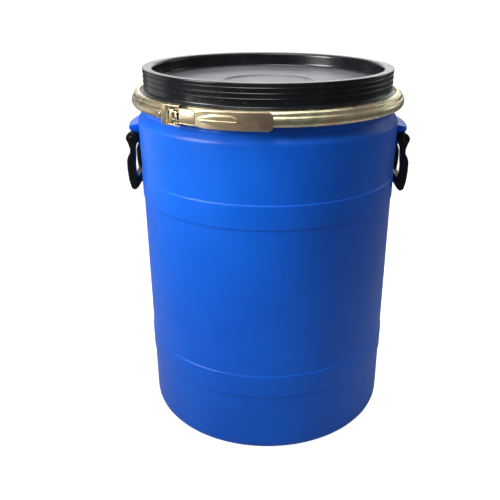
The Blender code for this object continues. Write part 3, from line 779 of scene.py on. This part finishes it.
def make_handle(name, look):
    """A drop handle on the +X side, moulded in one: two bowed arms with round bosses, and a grip bar."""
    boss = 0.0088
    outline = [(PIVOT_X + boss * math.cos(a), PIVOT_Z + boss * math.sin(a))
               for a in (math.radians(d) for d in range(-40, 221, 10))]
    rest = rounded([
        outline[-1] + (0,), (0.1945, 0.4270, 0.004), (0.1950, 0.4150, 0.004), (0.1966, 0.4000, 0.006),
        (0.1962, 0.3880, 0.006), (0.1935, 0.3760, 0.004), (0.1938, 0.3675, 0.0025), (0.1985, 0.3628, 0.003),
        (0.2040, 0.3660, 0.003), (0.2068, 0.3790, 0.005), (0.2080, 0.3950, 0.006), (0.2078, 0.4080, 0.005),
        (0.2055, 0.4150, 0.003), (0.2022, 0.4205, 0.003), (0.2020, 0.4265, 0.002), outline[0] + (0,),
    ], steps=4)[1:-1]
    side = outline + rest
    pieces = []
    for near, far in ((-ARM_OUTER_Y, -ARM_INNER_Y), (ARM_INNER_Y, ARM_OUTER_Y)):
        pieces.append(swept("arm", [[Vector((x, y, z)) for x, z in side] for y in (near, far)], look))
    grip = rounded([
        (0.1938, 0.3665, 0.003), (0.1985, 0.3630, 0.003), (0.2040, 0.3660, 0.003), (0.2064, 0.3740, 0.003),
        (0.2044, 0.3808, 0.003), (0.1985, 0.3826, 0.003), (0.1942, 0.3800, 0.003), (0.1934, 0.3740, 0.003),
    ], steps=4, closed=True)
    reach = ARM_OUTER_Y - 0.004
    pieces.append(swept("grip", [[Vector((x, y, z)) for x, z in grip] for y in (-reach, reach)], look))
    handle = boolean(pieces[0], pieces[1:], "UNION")
    handle.name = name
    moulded(handle, 0.0008, 6)
    radius = HANDLE_PIN_RADIUS + 0.0003
    bar = turned("bore", [(0.0, 0.06), (radius, 0.06), (radius, -0.06), (0.0, -0.06)], look, segments=32)
    bar.data.transform(Matrix.Translation((PIVOT_X, 0, PIVOT_Z)) @ Matrix.Rotation(math.pi / 2, 4, "X"))
    boolean(handle, [bar], "DIFFERENCE")
    handle.data.shade_smooth()
    handle.data.set_sharp_from_angle(angle=math.radians(55))
    return handle


def make_handle_pin(name, look):
    reach = ARM_OUTER_Y + 0.0003
    half = rounded([(0.0, reach + 0.0018, 0), (0.0032, reach + 0.0016, 0.0012),
                    (0.0042, reach + 0.0005, 0.0005), (0.0042, reach, 0.0001),
                    (HANDLE_PIN_RADIUS, reach, 0)], steps=5)
    pin = turned(name, half + [(r, -h) for r, h in reversed(half)], look, segments=40)
    pin.data.transform(Matrix.Translation((PIVOT_X, 0, PIVOT_Z)) @ Matrix.Rotation(math.pi / 2, 4, "X"))
    return pin


def make_handles(look, steel):
    for side in ("right", "left"):
        handle = make_handle(f"drop_handle_{side}", look)
        pin = make_handle_pin(f"drop_handle_pin_{side}", steel)
        if side == "left":
            half_turned(handle)
            half_turned(pin)
        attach(handle, f"handle_{side}")
        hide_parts(f"handle_{side}")
        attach(pin, "drum")
        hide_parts(f"handle_pin_{side}")


# ---------------------------------------------------------------- studio

def area_light(name, place, target, size, power, spread=180.0):
    light = bpy.data.lights.new(name, "AREA")
    light.shape = "RECTANGLE"
    light.size, light.size_y = size
    light.energy = power
    light.spread = math.radians(spread)
    obj = bpy.data.objects.new(name, light)
    obj.location = place
    obj.rotation_euler = (Vector(target) - Vector(place)).to_track_quat("-Z", "Y").to_euler()
    obj.visible_camera = False
    bpy.context.scene.collection.objects.link(obj)


def white_to_the_camera(tree, plain, seen, output):
    """Shows the backdrop white, by the seen shader, while the plain one alone lights the object."""
    rays = tree.nodes.new("ShaderNodeLightPath")
    mix = tree.nodes.new("ShaderNodeMixShader")
    tree.links.new(rays.outputs["Is Camera Ray"], mix.inputs["Fac"])
    tree.links.new(plain, mix.inputs[1])
    tree.links.new(seen, mix.inputs[2])
    tree.links.new(mix.outputs["Shader"], output.inputs["Surface"])


def make_floor():
    side = 40.0
    corners = ((-side, -side), (side, -side), (side, side), (-side, side))
    paper = floor_paper()
    sections = [[Vector((x, y, z)) for x, y in corners] for z in (-0.01, -0.0002)]
    swept("floor", sections, paper)
    tree = paper.node_tree
    white = tree.nodes.new("ShaderNodeEmission")
    white.inputs["Strength"].default_value = BACKDROP_WHITE
    glow = tree.nodes.new("ShaderNodeAddShader")
    plain = tree.nodes["Principled BSDF"].outputs["BSDF"]
    tree.links.new(plain, glow.inputs[0])
    tree.links.new(white.outputs["Emission"], glow.inputs[1])
    white_to_the_camera(tree, plain, glow.outputs["Shader"], tree.nodes["Material Output"])


def make_world():
    world = bpy.data.worlds.new("studio")
    world.use_nodes = True
    tree = world.node_tree
    dim = tree.nodes["Background"]
    dim.inputs["Color"].default_value = (0.90, 0.95, 1.0, 1.0)
    dim.inputs["Strength"].default_value = WORLD_DIM
    white = tree.nodes.new("ShaderNodeBackground")
    white.inputs["Color"].default_value = (1.0, 1.0, 1.0, 1.0)
    white.inputs["Strength"].default_value = BACKDROP_WHITE
    white_to_the_camera(tree, dim.outputs["Background"], white.outputs["Background"],
                        tree.nodes["World Output"])
    bpy.context.scene.world = world


def make_studio():
    make_floor()
    make_world()
    area_light("key", (-1.28, -0.72, 0.95), (-0.04, -0.05, 0.52), (0.7, 0.7), 2.35, 42.0)
    area_light("overhead", (-0.1, 0.30, 1.75), (0, 0, 0.5), (1.5, 1.2), 4.1, 80.0)
    area_light("front_top", (-0.30, -0.62, 1.60), (0, -0.1, 0.5), (0.9, 0.45), 2.6, 80.0)
    area_light("back", (0.1, 1.7, 1.05), (0, 0, 0.52), (2.6, 0.9), 2.9, 90.0)
    area_light("left_low", (-1.25, 0.62, 0.26), (0, 0, 0.48), (0.9, 0.5), 0.9)
    area_light("right", (1.8, 0.9, 1.0), (0, 0, 0.40), (0.7, 1.4), 3.0)


def make_camera():
    """A camera a little above the drum, looking 23 degrees down, with the drum right of centre."""
    place = Vector((0.0, -0.94126, 0.65208))
    pitch, roll = math.radians(23.24), math.radians(0.27)
    data = bpy.data.cameras.new("camera")
    data.lens = 45.05
    data.sensor_width = 36.0
    data.shift_x = -0.0347
    camera = bpy.data.objects.new("camera", data)
    camera.matrix_world = (Matrix.Translation(place) @ Matrix.Rotation(math.pi / 2 - pitch, 4, "X")
                           @ Matrix.Rotation(roll, 4, "Z"))
    bpy.context.scene.collection.objects.link(camera)
    bpy.context.scene.camera = camera


def main():
    blue, black, nylon = blue_plastic(), black_plastic(), handle_plastic()
    zinc, steel, rubber = yellow_zinc(), pin_steel(), seal_rubber()
    make_drum(blue)
    make_lid(black, rubber)
    make_ring(zinc)
    make_closure(lever_zinc(), steel)
    make_handles(nylon, blackened_steel())
    for name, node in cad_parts.items():
        if not node.hide_render:
            node.data.materials.clear()
            node.data.materials.append(zinc if name == "pivot_bracket" else steel)
            node.data.set_sharp_from_angle(angle=math.radians(35))
    make_studio()
    make_camera()
    bpy.context.scene.view_settings.view_transform = "Standard"


main()
